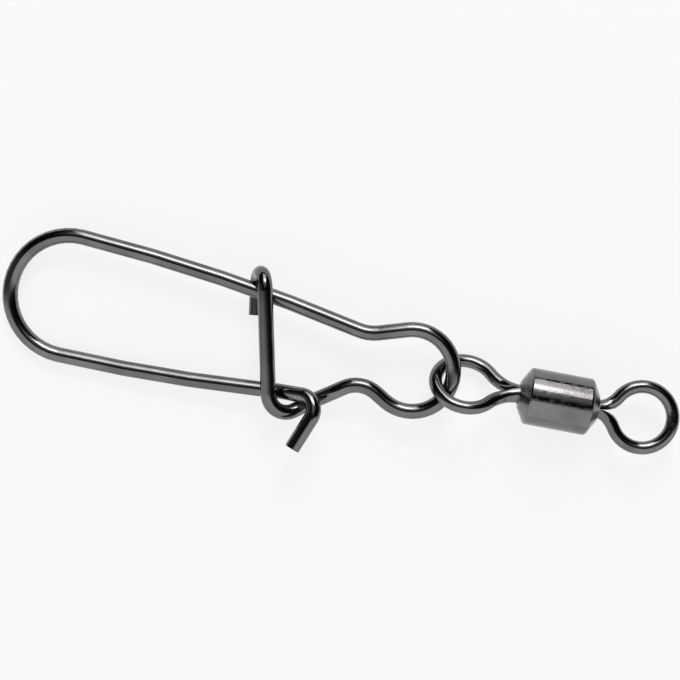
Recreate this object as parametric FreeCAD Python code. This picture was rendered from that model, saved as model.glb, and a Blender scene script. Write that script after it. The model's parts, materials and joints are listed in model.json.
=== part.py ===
import FreeCAD, Part
import math
import os

Vector = FreeCAD.Vector

# A fishing snap swivel, lying flat as it comes to rest on a table, in millimetres.
# The swivel's axis is the X axis, with the line eye at the origin and the snap towards -X.
# +Z is up, so the table is half a barrel below the axis.

# Wires
snap_wire = 1.33            # diameter of the snap's spring wire
eye_wire = 1.14             # diameter of the wire of both eyes
wire_gap = 0.05             # play left where the snap's wire crosses itself

# The snap, drawn in its own plane: the small loop's centre is the origin, the large loop is towards -X
small_loop_radius = 3.54    # all bend radii of wires are measured to the middle of the wire
large_loop_radius = 5.23
loop_spacing = 30.28        # between the two loop centres, along the snap
large_loop_rise = 0.22      # the large loop's centre lies this far above the small loop's
upper_bow_radius = 163.0    # the upper wire is bowed slightly outwards
lower_leave_angle = -0.9    # degrees: the lower wire's direction where it leaves the large loop
lower_arrive_angle = 5.5    # degrees: and where it reaches the crossbar
waist_top_angle = 126.9     # degrees: direction from the small loop's centre to the upper waist bend's
waist_top_run = 2.44        # length of straight wire between the two bends
waist_top_radius = 3.68
waist_low_angle = -129.7    # the same for the lower waist bend
waist_low_run = 1.0
waist_low_radius = 2.6

# The snap's crossbar and latch
crossbar_back = 12.65       # where the crossbar's line meets the snap's axis
crossbar_lean = 13.05       # degrees from square to the snap's axis
hook_play = 0.3             # between the top of the hook and the upper wire, beyond their wire gap
hook_skew = 0.9             # the hook's rear leg lies this far behind the crossbar
hook_flare = 0.25           # and leans back by this much more at its cut end
hook_bend_share = 0.99      # share of the hook's half width that its bends take
hook_tip = 2.15             # the cut end, below the middle of the upper wire
corner_radius = 1.7         # the bend from the crossbar into the latch wire
latch_angle = 36.3          # degrees: the latch wire's direction, towards the waist
latch_dip = 0.45            # the latch wire's lowest place, under the latch hook
latch_dip_at = 4.1          # its distance from the corner
latch_level_at = 6.1        # the latch wire is back in the snap's plane here
latch_bend_radius = 2.2     # its bends out of the snap's plane
latch_hook_lift = 0.23      # the latch hook's height over the snap's plane, beyond one wire and its gap
latch_hook_radius = 1.35
rise_run = 0.35             # the climb starts this far past the crossbar
rise_radius = 3.0
tail_angle = -110.5         # degrees: the direction of the free tail
tail_length = 5.0
tail_rise = 0.45            # the tail's end stands this much higher than its hook

# Swivel
barrel_diameter = 4.92
barrel_body = 5.3           # length of the barrel's straight wall
barrel_wall = 0.55
swage_length = 0.76         # each end is swaged down over this length
lip_width = 0.27            # of the flat ring round each mouth
shoulder_round = 0.3
lip_round = 0.1
mouth_round = 0.05
inner_round = 0.2
mouth_gap = 0.07            # play of a shank in the barrel's mouth
seat_gap = 0.06             # play of a head on the swaged end
head_play = 0.35            # of a head in the bore
head_length = 0.8
head_round = 0.25
eye_loop_radius = 2.64
line_neck_radius = 1.75     # bend of the line eye's legs: it sets how far out the eye stands
snap_neck_radius = 3.1      # and of the snap eye's, which stands further out
shank_out = 0.1             # the legs part this far outside the barrel
coin_slit = 0.04            # the seam between the two coined legs
coin_share = 0.6            # share of each leg's bend over which its section turns round
coin_steps = 5              # sections through which it does so

# How the pieces lie
snap_eye_tilt = 42.0        # degrees: the snap eye is turned about the swivel's axis
link_slack = 0.22           # play between the snap's wire and the end of the snap eye
link_aside = 0.2            # the snap's middle lies this far beside the swivel's axis
snap_heading = 1.16         # degrees between the snap and the swivel, seen from above
settling_steps = 12         # the snap's resting place is found in this many steps


def radians(degrees):
    return degrees * math.pi / 180.0


def ahead(heading):
    return Vector(math.cos(heading), math.sin(heading), 0)


def right_of(heading):
    return Vector(math.sin(heading), -math.cos(heading), 0)


# The snap is formed round pegs. A peg is a centre and a radius, and the radius is
# positive where the wire turns left round the peg, negative where it turns right.

def on_peg(peg, heading):
    centre, radius = peg
    return centre + right_of(heading) * radius


def peg_beside(peg, angle, run, radius):
    """A peg that bends the wire the other way, after a straight run of this length."""
    apart = math.hypot(peg[1] + radius, run)
    return peg[0] + ahead(radians(angle)) * apart, -radius


def heading_between(first, second):
    """Heading of the straight wire that runs from one peg to the next."""
    apart = second[0] - first[0]
    turn = math.asin((first[1] - second[1]) / apart.Length)
    return (math.atan2(apart.y, apart.x) + turn) % (2 * math.pi)


def bow_between(first, radius, second):
    """The peg of a bow with this radius that touches both pegs, where the straight wire would be."""
    reach = abs(radius - first[1])
    other = abs(radius - second[1])
    apart = second[0] - first[0]
    along = (reach ** 2 - other ** 2 + apart.Length ** 2) / (2 * apart.Length)
    aside = math.sqrt(reach ** 2 - along ** 2) * math.copysign(1, radius)
    unit = Vector(apart).normalize()
    return first[0] + unit * along + Vector(-unit.y, unit.x, 0) * aside, radius


def heading_where_they_touch(first, second):
    """Heading of the wire at the point where two touching pegs hand it over."""
    across = (second[0] - first[0]) * (1.0 / (first[1] - second[1]))
    return math.atan2(across.x, -across.y) % (2 * math.pi)


def arc_round(peg, start, end):
    middle = (start + end) / 2
    return Part.Arc(on_peg(peg, start), on_peg(peg, middle), on_peg(peg, end)).toShape()


def straight(start, end):
    return Part.LineSegment(start, end).toShape()


def bent_run(points, radii):
    """Straight runs through the points, with a bend of each radius at the points between the ends.

    A radius of 0 leaves its corner sharp."""
    edges = []
    start = points[0]
    for before, corner, after, radius in zip(points, points[1:], points[2:], radii):
        if radius == 0:
            edges.append(straight(start, corner))
            start = corner
            continue
        back = (before - corner).normalize()
        onward = (after - corner).normalize()
        half = back.getAngle(onward) / 2
        inward = (back + onward).normalize()
        bend_start = corner + back * (radius / math.tan(half))
        bend_end = corner + onward * (radius / math.tan(half))
        bend_middle = corner + inward * (radius / math.sin(half) - radius)
        edges.append(straight(start, bend_start))
        edges.append(Part.Arc(bend_start, bend_middle, bend_end).toShape())
        start = bend_end
    edges.append(straight(start, points[-1]))
    return edges


def crossing(point, direction, other, other_direction):
    """Where two lines in the snap's plane cross."""
    across = direction.x * other_direction.y - direction.y * other_direction.x
    gap = other - point
    share = (gap.x * other_direction.y - gap.y * other_direction.x) / across
    return point + direction * share


def crossing_bow(point, direction, bow):
    """Where a line leaves a bow's circle, on the side that the line comes from."""
    centre, radius = bow
    offset = point - centre
    middle = -offset.dot(direction)
    reach = math.sqrt(middle ** 2 - offset.dot(offset) + radius ** 2)
    ends = [point + direction * (middle - reach), point + direction * (middle + reach)]
    return min(ends, key=lambda end: (end - point).Length)


def swept(edges, diameter):
    """A round wire along a path, built edge by edge so that each stretch is an exact cylinder or ring."""
    wire = None
    for edge in edges:
        start = edge.valueAt(edge.FirstParameter)
        along = edge.tangentAt(edge.FirstParameter)
        disc = Part.Face(Part.Wire(Part.makeCircle(diameter / 2, start, along)))
        if edge.Curve.TypeId == "Part::GeomLine":
            piece = disc.extrude(edge.valueAt(edge.LastParameter) - start)
        else:
            angle = math.degrees(edge.LastParameter - edge.FirstParameter)
            piece = disc.revolve(edge.Curve.Center, edge.Curve.Axis, angle)
        wire = piece if wire is None else wire.fuse(piece)
    return wire


# Pegs of the snap, in the order in which the wire passes them
stack = snap_wire + wire_gap
small_loop = (Vector(0, 0, 0), small_loop_radius)
large_loop = (Vector(-loop_spacing, large_loop_rise, 0), large_loop_radius)
waist_low = peg_beside(small_loop, waist_low_angle, waist_low_run, waist_low_radius)
waist_top = peg_beside(small_loop, waist_top_angle, waist_top_run, waist_top_radius)
upper_bow = bow_between(waist_top, upper_bow_radius, large_loop)

latch_heading = radians(latch_angle)
latch_run = ahead(latch_heading)
latch_end = on_peg(waist_low, latch_heading)
crossbar_run = right_of(radians(crossbar_lean))
crossbar_point = Vector(-crossbar_back, 0, 0)
over_upper = crossing_bow(crossbar_point, crossbar_run, upper_bow)
corner = crossing(latch_end, latch_run, crossbar_point, crossbar_run)
hook_end = over_upper + crossbar_run * hook_tip + Vector(-hook_skew - hook_flare, 0, -stack)


def lower_wire_end():
    """The lower wire's bow, from the large loop to just short of the crossbar, and its last point."""
    leave = radians(lower_leave_angle)
    arrive = radians(lower_arrive_angle)
    start = on_peg(large_loop, leave)
    below = crossbar_point + crossbar_run * (start.y / crossbar_run.y)
    span = below.x - stack - start.x
    radius = span / (math.sin(arrive) - math.sin(leave))
    bow = (start - right_of(leave) * radius, radius)
    return bow, on_peg(bow, arrive)


def snap_path():
    """The snap's middle line, from the cut end of the hook to the cut end of the tail."""
    up = Vector(0, 0, 1)
    hook_front = over_upper - crossbar_run * (stack + hook_play) + up * stack
    hook_rear = hook_front + Vector(-hook_skew, 0, -2 * stack)
    hook_radius = stack * hook_bend_share
    opening_run = bent_run(
        [
            hook_end,
            hook_rear,
            hook_front,
            corner + up * stack,
            corner + latch_run * latch_dip_at - up * latch_dip,
            corner + latch_run * latch_level_at,
            latch_end,
        ],
        [hook_radius, hook_radius, corner_radius, latch_bend_radius, latch_bend_radius],
    )

    into_small = heading_between(waist_low, small_loop)
    out_of_small = heading_between(small_loop, waist_top)
    onto_bow = heading_where_they_touch(waist_top, upper_bow)
    onto_large = heading_where_they_touch(upper_bow, large_loop)
    leave = radians(lower_leave_angle)
    lower_bow, lower_end = lower_wire_end()
    body_run = [
        arc_round(waist_low, latch_heading, into_small - 2 * math.pi),
        straight(on_peg(waist_low, into_small), on_peg(small_loop, into_small)),
        arc_round(small_loop, into_small - 2 * math.pi, out_of_small),
        straight(on_peg(small_loop, out_of_small), on_peg(waist_top, out_of_small)),
        arc_round(waist_top, out_of_small, onto_bow),
        arc_round(upper_bow, onto_bow, onto_large),
        arc_round(large_loop, onto_large, leave + 2 * math.pi),
        arc_round(lower_bow, leave, radians(lower_arrive_angle)),
    ]

    lower_run = ahead(radians(lower_arrive_angle))
    latch_corner = crossing(latch_end, latch_run, lower_end, lower_run) 
    latch_corner += up * (stack + latch_hook_lift)
    tail_run = ahead(radians(tail_angle)) * tail_length + up * tail_rise
    closing_run = bent_run(
        [
            lower_end,
            lower_end + lower_run * (stack + rise_run),
            latch_corner,
            latch_corner + tail_run,
        ],
        [rise_radius, latch_hook_radius],
    )
    return opening_run + body_run + closing_run


# Barrel: a tube whose ends are swaged down to a mouth round each shank
barrel_radius = barrel_diameter / 2
barrel_end = barrel_body / 2 + swage_length
shank_radius = eye_wire / math.sqrt(2)      # coining keeps the wire's section
mouth_radius = shank_radius + mouth_gap
lip_radius = mouth_radius + lip_width
bore_radius = barrel_radius - barrel_wall
head_radius = bore_radius - head_play
swage_slope = (barrel_radius - lip_radius) / swage_length
swage_stretch = math.sqrt(1 + swage_slope ** 2) / swage_slope


def under_swage(depth, radius):
    """Distance from the barrel's middle to the cone this deep under the swaged end, where it has this radius."""
    return barrel_end - depth * swage_stretch - (radius - lip_radius) / swage_slope


def turned(outline, rounds):
    """Revolves an outline of (x, radius) corners about the X axis, with rounds between its two ends."""
    corners = [Vector(x, radius, 0) for x, radius in outline]
    edges = bent_run(corners, rounds)
    if (corners[-1] - corners[0]).Length > 0:
        edges.append(straight(corners[-1], corners[0]))
    return Part.Face(Part.Wire(edges)).revolve(Vector(0, 0, 0), Vector(1, 0, 0), 360)


def barrel_shape():
    right_half = [
        (barrel_body / 2, barrel_radius, shoulder_round),
        (barrel_end, lip_radius, lip_round),
        (barrel_end, mouth_radius, mouth_round),
        (under_swage(barrel_wall, mouth_radius), mouth_radius, mouth_round),
        (under_swage(barrel_wall, bore_radius), bore_radius, inner_round),
    ]
    left_half = [(-x, radius, rounding) for x, radius, rounding in reversed(right_half)]
    corners = right_half + left_half
    top = (0, barrel_radius)
    outline = [top] + [(x, radius) for x, radius, rounding in corners] + [top]
    return turned(outline, [rounding for x, radius, rounding in corners])


# Eyes: drawn on the +X side of the barrel, with the barrel's middle at the origin
legs_part = barrel_end + shank_out
leg_offset = (shank_radius + coin_slit / 2) / 2


def head_shape():
    """The upset head that turns against the inside of the swaged end."""
    depth = barrel_wall + seat_gap
    front = under_swage(depth, shank_radius)
    rim = under_swage(depth, head_radius)
    back = rim - head_length
    outline = [(back, 0), (back, head_radius), (rim, head_radius), (front, shank_radius), (front, 0)]
    return turned(outline, [head_round, head_round, 0])


def leg_section(place, heading, rounded):
    """A leg's section, square to its path: half a disc when rounded is 0, the round wire when it is 1."""
    coined_depth = (shank_radius - coin_slit / 2) / 2
    coined_height = math.sqrt(shank_radius ** 2 - (coin_slit / 2) ** 2)
    depth = coined_depth + (eye_wire / 2 - coined_depth) * rounded
    height = coined_height + (eye_wire / 2 - coined_height) * rounded
    outward = Vector(-math.sin(heading), math.cos(heading), 0)
    seam = place - outward * (coined_depth * (1 - rounded))
    top = seam + Vector(0, 0, height)
    bottom = seam - Vector(0, 0, height)
    outer = Part.Arc(top, place + outward * depth, bottom).toShape()
    if rounded == 0:
        return Part.Wire([outer, straight(bottom, top)])
    return Part.Wire([outer, Part.Arc(bottom, place - outward * depth, top).toShape()])


def leg_shape(bend_radius, sweep):
    """The leg on the +Y side: a coined half of the shank, which turns round as it bends into the loop."""

    def place_at(heading):
        return Vector(
            legs_part + bend_radius * math.sin(heading),
            leg_offset + bend_radius * (1 - math.cos(heading)),
            0,
        )

    shank_start = Vector(under_swage(barrel_wall, head_radius), leg_offset, 0)
    shank_run = Vector(legs_part, leg_offset, 0) - shank_start
    shank = Part.Face(leg_section(shank_start, 0, 0)).extrude(shank_run)
    sections = []
    for step in range(coin_steps + 1):
        rounded = step / coin_steps
        heading = sweep * coin_share * rounded
        sections.append(leg_section(place_at(heading), heading, rounded))
    coined = Part.makeLoft(sections, True)
    headings = [sweep * coin_share, sweep * (1 + coin_share) / 2, sweep]
    bend = swept([Part.Arc(*[place_at(heading) for heading in headings]).toShape()], eye_wire)
    return shank.fuse([coined, bend])


def neck_sweep(neck_radius):
    """Angle through which a leg bends before it hands over to the loop."""
    return math.acos((neck_radius + leg_offset) / (neck_radius + eye_loop_radius))


def eye_reach(neck_radius):
    """Distance from the barrel's middle to the middle of an eye."""
    return legs_part + (neck_radius + eye_loop_radius) * math.sin(neck_sweep(neck_radius))


def eye_shape(neck_radius):
    """A loop whose two legs bend back to lie together, coined into one round shank with a head."""
    sweep = neck_sweep(neck_radius)
    loop = (Vector(eye_reach(neck_radius), 0, 0), -eye_loop_radius)
    ring = swept([arc_round(loop, sweep, -math.pi - sweep)], eye_wire)
    leg = leg_shape(neck_radius, sweep)
    other_leg = leg.mirror(Vector(0, 0, 0), Vector(0, 1, 0))
    return ring.fuse([leg, other_leg, head_shape()])


# Places: the line eye's middle is the origin, and the barrel rests on the table
barrel_place = Vector(-eye_reach(line_neck_radius), 0, 0)
snap_eye_end = barrel_place - Vector(eye_reach(snap_neck_radius) + eye_loop_radius, 0, 0)
link_gap = (snap_wire + eye_wire) / 2 + link_slack


def snap_placement():
    """Lays the snap on the table at its hook's cut end and its large loop, with the small loop on the eye."""
    link = Vector(small_loop_radius, 0, 0)
    drop = barrel_radius - snap_wire / 2
    loop_centre = large_loop[0]
    first = hook_end - link
    downhill = Vector(0, -1, 0)
    for step in range(settling_steps):
        second = loop_centre + downhill * large_loop_radius - link
        square = first.cross(second).normalize()
        share = first.dot(second)
        area = first.dot(first) * second.dot(second) - share ** 2
        in_plane = first * (second.dot(second) - share) + second * (first.dot(first) - share)
        in_plane = in_plane * (-drop / area)
        upright = math.sqrt(1 - in_plane.dot(in_plane))
        up = in_plane + square * math.copysign(upright, square.z)
        downhill = Vector(-up.x, -up.y, 0).normalize()
    along = ahead(radians(snap_heading))
    along = (along - up * along.dot(up)).normalize()
    turn = FreeCAD.Rotation(along, up.cross(along), up, "ZXY").inverted()
    place = snap_eye_end + Vector(link_gap, link_aside, 0)
    return FreeCAD.Placement(place - turn.multVec(link), turn)


def placed(shape, placement):
    return shape.transformed(placement.toMatrix())


def snap_eye_placement():
    tilt = FreeCAD.Rotation(Vector(1, 0, 0), -snap_eye_tilt)
    about = FreeCAD.Rotation(Vector(0, 0, 1), 180)
    return FreeCAD.Placement(barrel_place, tilt * about)


line_side = FreeCAD.Placement(barrel_place, FreeCAD.Rotation())

nodes = {
    "snap_wire": placed(swept(snap_path(), snap_wire), snap_placement()),
    "snap_eye": placed(eye_shape(snap_neck_radius), snap_eye_placement()),
    "barrel": placed(barrel_shape(), line_side),
    "line_eye": placed(eye_shape(line_neck_radius), line_side),
}

os.makedirs("parts", exist_ok=True)
for name, shape in nodes.items():
    shape.exportStep(f"parts/{name}.step")
    box = shape.BoundBox
    print(
        f"{name}: {len(shape.Solids)} solid, {shape.Volume:.2f} mm3,",
        f"X {box.XMin:.2f} to {box.XMax:.2f}, Y {box.YMin:.2f} to {box.YMax:.2f},",
        f"Z {box.ZMin:.2f} to {box.ZMax:.2f}",
    )
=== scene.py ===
# %% [markdown]
# # A fishing snap swivel in black nickel
#
# This lesson dresses a small piece of fishing tackle for a studio picture. The shapes come from the CAD
# model as a fixed frame, in metres: a snap bent from one wire, two eyes of thinner wire and a short barrel.
# They are exact cylinders and rings, so nothing is remodelled here. What makes the real part look real is
# its plating, and what the plating reflects: that is what the cells below build.

# %% Load the frame
import json
import math

import bpy
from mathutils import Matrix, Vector


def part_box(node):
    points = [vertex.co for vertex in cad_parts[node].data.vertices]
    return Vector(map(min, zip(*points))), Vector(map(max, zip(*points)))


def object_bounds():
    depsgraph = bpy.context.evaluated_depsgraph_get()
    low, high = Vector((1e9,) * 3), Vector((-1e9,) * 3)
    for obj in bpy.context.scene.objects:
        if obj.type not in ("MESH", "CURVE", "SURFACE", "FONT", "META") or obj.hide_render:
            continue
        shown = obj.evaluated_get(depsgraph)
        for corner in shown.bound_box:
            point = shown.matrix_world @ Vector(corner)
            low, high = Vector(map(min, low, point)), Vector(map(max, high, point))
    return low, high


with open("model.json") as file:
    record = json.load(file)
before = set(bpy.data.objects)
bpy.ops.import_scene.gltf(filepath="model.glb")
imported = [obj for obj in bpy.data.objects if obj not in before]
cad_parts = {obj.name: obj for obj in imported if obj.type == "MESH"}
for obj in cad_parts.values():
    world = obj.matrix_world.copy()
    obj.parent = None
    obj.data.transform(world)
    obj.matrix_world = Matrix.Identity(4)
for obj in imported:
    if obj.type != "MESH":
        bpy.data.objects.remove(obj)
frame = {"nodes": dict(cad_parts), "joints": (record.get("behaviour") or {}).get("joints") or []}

cad_low, cad_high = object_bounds()
print("nodes:", sorted(frame["nodes"]))
print("size in mm:", [round(1000 * side, 2) for side in cad_high - cad_low])

# %% [markdown]
# ## Arithmetic on sockets
#
# A material is a graph of nodes. Wired by hand it is hard to read, so a small class wraps a socket and gives
# it the usual operators: `1 - mask` then adds a Math node by itself.


# %% A socket that can be used in arithmetic
class Signal:
    def __init__(self, recipe, socket):
        self.recipe = recipe
        self.socket = socket

    def maths(self, operation, first, second=0.0):
        return self.recipe.add("ShaderNodeMath", {"operation": operation}, {0: first, 1: second})

    def __add__(self, other):
        return self.maths("ADD", self, other)

    __radd__ = __add__

    def __mul__(self, other):
        return self.maths("MULTIPLY", self, other)

    __rmul__ = __mul__

    def __sub__(self, other):
        return self.maths("SUBTRACT", self, other)

    def __rsub__(self, other):
        return self.maths("SUBTRACT", other, self)

    def __abs__(self):
        return self.maths("ABSOLUTE", self)

    def larger(self, other):
        return self.maths("MAXIMUM", self, other)

    def output(self, name):
        return Signal(self.recipe, self.socket.node.outputs[name])


# %% [markdown]
# Every other node comes from one method, which takes the node's type, its settings and what goes into its
# sockets. A signal is linked, and anything else is written on the socket as its value.


# %% A recipe of nodes
class Recipe:
    def __init__(self, owner):
        owner.use_nodes = True
        self.tree = owner.node_tree
        self.tree.nodes.clear()

    def add(self, kind, settings=None, inputs=None):
        node = self.tree.nodes.new(kind)
        for name, value in (settings or {}).items():
            setattr(node, name, value)
        for name, value in (inputs or {}).items():
            if isinstance(value, Signal):
                self.tree.links.new(value.socket, node.inputs[name])
            else:
                node.inputs[name].default_value = value
        first = next((socket for socket in node.outputs if socket.enabled), None)
        return Signal(self, first)


# %% [markdown]
# ## Ways to say where on the part
#
# Plating differs from place to place: it is thin where two wires rub, and dull where a tool gripped. The
# Object coordinates of a node stay with it when it moves, so a mark made with them turns with its wire. All
# sizes are in metres, as in the frame.


# %% Masks
def place_on_part(recipe):
    return recipe.add("ShaderNodeTexCoord").output("Object")


def between(recipe, signal, start, end):
    """0 below start, 1 above end, smooth in between."""
    settings = {"interpolation_type": "SMOOTHSTEP"}
    return recipe.add("ShaderNodeMapRange", settings, {"Value": signal, "From Min": start, "From Max": end})


def near(recipe, place, point, reach):
    """1 close to a point, fading from 0.3 of the reach on and 0 at the whole reach."""
    settings = {"operation": "DISTANCE"}
    away = recipe.add("ShaderNodeVectorMath", settings, {0: place, 1: tuple(point)}).output("Value")
    return 1 - between(recipe, away, 0.3 * reach, reach)


def noise(recipe, place, size, detail=2.0, stretch=(1, 1, 1)):
    """Soft random grey with features of this size. A stretch above 1 lengthens them on its axis."""
    scale = tuple(1 / (size * longer) for longer in stretch)
    settings = {"operation": "MULTIPLY"}
    scaled = recipe.add("ShaderNodeVectorMath", settings, {0: place, 1: scale})
    return recipe.add("ShaderNodeTexNoise", {}, {"Vector": scaled, "Scale": 1.0, "Detail": detail})


# %% [markdown]
# ## Black nickel
#
# Black nickel is a dark grey metal that is plated bright. It keeps a mirror's reflections and takes more than
# four fifths of their light. Its darkness is the metal's own colour, so it goes in Base Color with Metallic
# at 1, and not in a dark coat over a bright metal. A thin cloud of colour and of roughness breaks it up.


# %% The plating's colours
nickel_deep = (0.132, 0.126, 0.129)
nickel_plain = (0.184, 0.176, 0.181)
nickel_worn = (0.300, 0.285, 0.262)


# A Mix node has one pair of sockets for each kind of value. These two are its colours.
first_colour_socket = 6
second_colour_socket = 7


def blend(recipe, share, first, second):
    """The first colour where the share is 0, the second where it is 1."""
    inputs = {"Factor": share}
    for socket, colour in {first_colour_socket: first, second_colour_socket: second}.items():
        inputs[socket] = colour if isinstance(colour, Signal) else (*colour, 1.0)
    return recipe.add("ShaderNodeMix", {"data_type": "RGBA"}, inputs)


def nickel_colour(recipe, cloud, worn):
    plated = blend(recipe, between(recipe, cloud, 0.3, 0.7), nickel_deep, nickel_plain)
    return blend(recipe, worn, plated, nickel_worn)


def metal(name, recipe, colour, roughness, height, depth):
    """A bare metal whose colour, roughness and fine relief vary."""
    bump = {"Height": height, "Distance": depth, "Strength": 1.0}
    normal = recipe.add("ShaderNodeBump", {}, bump)
    sockets = {"Base Color": colour, "Metallic": 1.0, "Roughness": roughness, "Normal": normal}
    surface = recipe.add("ShaderNodeBsdfPrincipled", {}, sockets)
    recipe.add("ShaderNodeOutputMaterial", {}, {"Surface": surface})
    print(name, "has", len(recipe.tree.nodes), "nodes")


# %% [markdown]
# ## The wires
#
# Spring wire is drawn through a die and bent cold round pegs, then plated. Up close it has faint pits and
# short scratches, and it is a little brighter where it rubs on its neighbour. The rubbed places are worked
# out from the frame: the link between the snap and its eye is the snap's own joint.


# %% Plated wire
def plated_wire(name, rubbed, reach):
    material = bpy.data.materials.new(name)
    recipe = Recipe(material)
    place = place_on_part(recipe)
    cloud = noise(recipe, place, size=0.0030, detail=3.0)
    grain = noise(recipe, place, size=0.00030, detail=4.0)
    scratches = noise(recipe, place, size=0.00010, stretch=(14, 2, 2))
    rub = near(recipe, place, rubbed[0], reach)
    for point in rubbed[1:]:
        rub = rub.larger(near(recipe, place, point, reach))
    worn = between(recipe, grain, 0.35, 0.75) * rub * 0.6
    colour = nickel_colour(recipe, cloud, worn)
    roughness = 0.10 + 0.07 * grain + 0.14 * worn
    height = grain * 0.5 + scratches * 0.5
    metal(name, recipe, colour, roughness, height, depth=0.0000018)
    return material


# %% [markdown]
# ## The barrel
#
# The barrel is brass, turned from bar and pressed down over the two heads, and plated like the wires. A wall
# tumbled with thousands of others is not quite smooth: shallow dents and dull blotches, a little longer along
# its axis, fray the edges of what it mirrors. The pressing dulls the two cones.

# %% Places on the barrel
barrel_low, barrel_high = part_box("barrel")
barrel_middle = (barrel_low + barrel_high) / 2
barrel_half = (barrel_high.x - barrel_low.x) / 2
swage_length = 0.00076
edge_blur = 0.0001
wall_half = barrel_half - swage_length
print("barrel half length in mm:", round(1000 * barrel_half, 3), "straight to", round(1000 * wall_half, 3))


# %% [markdown]
# The barrel's recipe measures how far each point lies along the axis from the barrel's middle. Past the
# straight wall it is on a cone. Towards the snap's end the plating is rubbed thin in spots and shows warmer,
# and all over it is a little lighter than on the wires.


# %% Plated barrel
def plated_barrel(name):
    material = bpy.data.materials.new(name)
    recipe = Recipe(material)
    place = place_on_part(recipe)
    along = recipe.add("ShaderNodeSeparateXYZ", {}, {"Vector": place}).output("X") - barrel_middle.x
    cone = between(recipe, abs(along), wall_half - edge_blur, wall_half + edge_blur)
    cloud = noise(recipe, place, size=0.0016, detail=4.0)
    dents = noise(recipe, place, size=0.00035, detail=4.0, stretch=(2, 1, 1))
    rings = noise(recipe, place, size=0.00008, detail=3.0, stretch=(1, 22, 22))
    spots = noise(recipe, place, size=0.00022, detail=2.5, stretch=(2, 1, 1))
    blotches = between(recipe, spots, 0.46, 0.64)
    thin = between(recipe, along * -1.0, -0.0010, 0.0026)
    colour = nickel_colour(recipe, 0.2 + 0.8 * cloud, blotches * thin * 0.3)
    roughness = 0.09 + 0.04 * rings + 0.17 * blotches + 0.08 * cone
    height = dents * 0.8 + rings * 0.2
    metal(name, recipe, colour, roughness, height, depth=0.000007)
    return material


# %% [markdown]
# ## Put the finishes on
#
# The CAD nodes keep their meshes. A finish goes into each node's material slot. The snap rubs in its eye and
# under its latch, and the line eye where the knot pulls. The latch's place is measured from the end of the
# small loop and from the snap's lower edge, and the knot's from the middle of the line eye.

# %% Assign the finishes
link = Vector(frame["joints"][0]["pos_m"])
snap_low, snap_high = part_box("snap_wire")
latch_from_loop_end = 0.0129
latch_from_edge = 0.0044
latch = Vector((snap_high.x - latch_from_loop_end, snap_low.y + latch_from_edge, 0.0))
knot = Vector((0.0026, 0.0, 0.0))

finishes = {
    "snap_wire": plated_wire("black_nickel_snap", [link, latch], reach=0.0022),
    "snap_eye": plated_wire("black_nickel_snap_eye", [link], reach=0.0018),
    "line_eye": plated_wire("black_nickel_line_eye", [knot], reach=0.0020),
    "barrel": plated_barrel("black_nickel_barrel"),
}
for node, finish in finishes.items():
    piece = frame["nodes"][node]
    piece.data.materials.clear()
    piece.data.materials.append(finish)
    print(node, "has the finish", finish.name)

# %% [markdown]
# ## The camera
#
# The camera looks straight down on the part, which lies on a table. It is rolled so that the swivel's axis
# runs down to the right, and a long lens from a hand's breadth away keeps the loops' true shape. Its place
# is worked out from where the middle of the barrel stands in the picture.

# %% Camera
picture_roll = math.radians(10.7)
picture_right = Vector((math.cos(picture_roll), math.sin(picture_roll), 0.0))
picture_up = Vector((-math.sin(picture_roll), math.cos(picture_roll), 0.0))
picture_pixels = 680
barrel_in_picture = (558.1, 401.4)
camera_distance = 0.1328
camera_lens = 82.0
sensor_width = 36.0

pixel = camera_distance * sensor_width / (camera_lens * picture_pixels)
barrel_right = (barrel_in_picture[0] - picture_pixels / 2) * pixel
barrel_down = (barrel_in_picture[1] - picture_pixels / 2) * pixel
picture_middle = barrel_middle - picture_right * barrel_right + picture_up * barrel_down

camera = bpy.data.objects.new("camera", bpy.data.cameras.new("camera"))
bpy.context.scene.collection.objects.link(camera)
camera.data.sensor_width = sensor_width
camera.data.lens = camera_lens
camera.data.clip_start = 0.005
camera.data.clip_end = 20.0
camera.location = picture_middle + Vector((0.0, 0.0, camera_distance))
camera.rotation_euler = (0.0, 0.0, picture_roll)
bpy.context.scene.camera = camera
print("camera at", [round(1000 * part, 2) for part in camera.location], "mm, a pixel is", round(1000 * pixel, 4))

# %% [markdown]
# ## The table
#
# The table is pure white paper. A diffuse white alone renders as a pale grey, so most of what the camera
# sees is given as light of strength 1, and the rest is the plain paper, which keeps the soft shadow. The
# same is shown to reflections, so that the metal mirrors the table that the picture shows.


# %% Table
white = (1.0, 1.0, 1.0, 1.0)
paper_white = (0.95, 0.95, 0.95, 1.0)
glow_share = 0.8


def white_paper():
    material = bpy.data.materials.new("white_paper")
    recipe = Recipe(material)
    path = recipe.add("ShaderNodeLightPath")
    seen = path.output("Is Camera Ray") + path.output("Is Glossy Ray") + path.output("Is Transmission Ray")
    paper = recipe.add("ShaderNodeBsdfDiffuse", {}, {"Color": paper_white})
    glow = recipe.add("ShaderNodeEmission", {}, {"Color": white, "Strength": 1.0})
    surface = recipe.add("ShaderNodeMixShader", {}, {"Fac": seen * glow_share, 1: paper, 2: glow})
    recipe.add("ShaderNodeOutputMaterial", {}, {"Surface": surface})
    return material


table_half = 3.0
table_mesh = bpy.data.meshes.new("table")
table_level = cad_low.z
corners = [(-1, -1), (1, -1), (1, 1), (-1, 1)]
table_mesh.from_pydata([(x * table_half, y * table_half, table_level) for x, y in corners], [], [(0, 1, 2, 3)])
table = bpy.data.objects.new("table", table_mesh)
bpy.context.scene.collection.objects.link(table)
table.data.materials.append(white_paper())
print("table level in mm:", round(1000 * table_level, 2))

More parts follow.
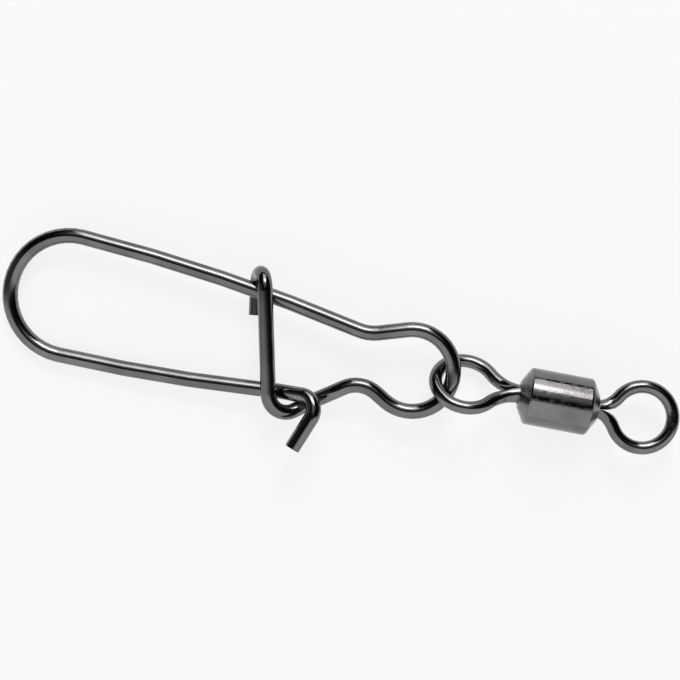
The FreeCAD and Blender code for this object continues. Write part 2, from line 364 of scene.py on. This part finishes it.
# %% [markdown]
# ## The light
#
# Polished wire is a row of tiny curved mirrors: each shows the whole studio, squeezed into its width. A
# softbox above the picture, with a bright middle and a dimmer skirt below it, draws the thin white line along
# each wire. Soft lamps alone, without a dark room, would make the plating look like grey paint.


# %% Lamps
def way_to(turned, elevation):
    """The direction to a light. Turned is counted clockwise from the top of the picture."""
    turn = math.radians(turned)
    lift = math.radians(elevation)
    level = picture_up * math.cos(turn) + picture_right * math.sin(turn)
    return level * math.cos(lift) + Vector((0.0, 0.0, math.sin(lift)))


def softbox(name, turned, elevation, distance, width, height, radiance):
    """A rectangular lamp that faces the part."""
    way = way_to(turned, elevation)
    lamp = bpy.data.lights.new(name, "AREA")
    lamp.shape = "RECTANGLE"
    lamp.size = width
    lamp.size_y = height
    lamp.energy = radiance * math.pi * width * height
    holder = bpy.data.objects.new(name, lamp)
    bpy.context.scene.collection.objects.link(holder)
    holder.location = picture_middle + way * distance
    holder.rotation_euler = way.to_track_quat("Z", "Y").to_euler()
    holder.visible_camera = False
    print(name, "at", [round(part, 2) for part in holder.location], "m,", round(lamp.energy, 2), "W")


softbox("key", turned=7, elevation=45, distance=0.60, width=0.32, height=0.26, radiance=4.2)
softbox("key_middle", turned=10, elevation=44, distance=0.58, width=0.20, height=0.11, radiance=7.0)
softbox("key_skirt", turned=7, elevation=22, distance=0.60, width=0.34, height=0.22, radiance=2.6)

# %% [markdown]
# The other half of the light is a white sheet, hung behind the photographer from the floor to almost
# overhead. Its mirror image is the mid grey on the lower half of every wire, and its edge is soft. A grey
# board at the left gives a dim line to the wires that run up and down, and the lamps leave a faint glow on
# the ceiling. All the rest is a dark room, which leaves the black line between the grey and the white.


# %% The sheet, the board and the room
def board(recipe, direction, behind, turned, elevation, start, end, radiance):
    """Adds a board to the room. It shows where a direction leans towards it by more than start,
    and fully from end on."""
    way = tuple(way_to(turned, elevation))
    leaning = recipe.add("ShaderNodeVectorMath", {"operation": "DOT_PRODUCT"}, {0: direction, 1: way})
    share = between(recipe, leaning.output("Value"), start, end)
    paint = {"Color": white, "Strength": radiance}
    front = recipe.add("ShaderNodeBackground", {}, paint)
    return recipe.add("ShaderNodeMixShader", {}, {"Fac": share, 1: behind, 2: front})


world = bpy.data.worlds.new("room")
bpy.context.scene.world = world
room = Recipe(world)
direction = room.add("ShaderNodeTexCoord").output("Generated")
dark = room.add("ShaderNodeBackground", {}, {"Color": (0.013, 0.012, 0.011, 1.0), "Strength": 1.0})
glow = board(room, direction, dark, turned=8, elevation=62, start=0.90, end=0.99, radiance=0.45)
side = board(room, direction, glow, turned=264, elevation=30, start=0.85, end=0.97, radiance=0.15)
sheet = board(room, direction, side, turned=185, elevation=0, start=0.14, end=0.34, radiance=1.1)
room.add("ShaderNodeOutputWorld", {}, {"Surface": sheet})
print("the room has", len(room.tree.nodes), "nodes")

# %% [markdown]
# ## The view transform
#
# Nothing was added to the part, so the dressed part has to be exactly as large as the CAD model.

# %% Finish
bpy.context.scene.view_settings.view_transform = "Standard"
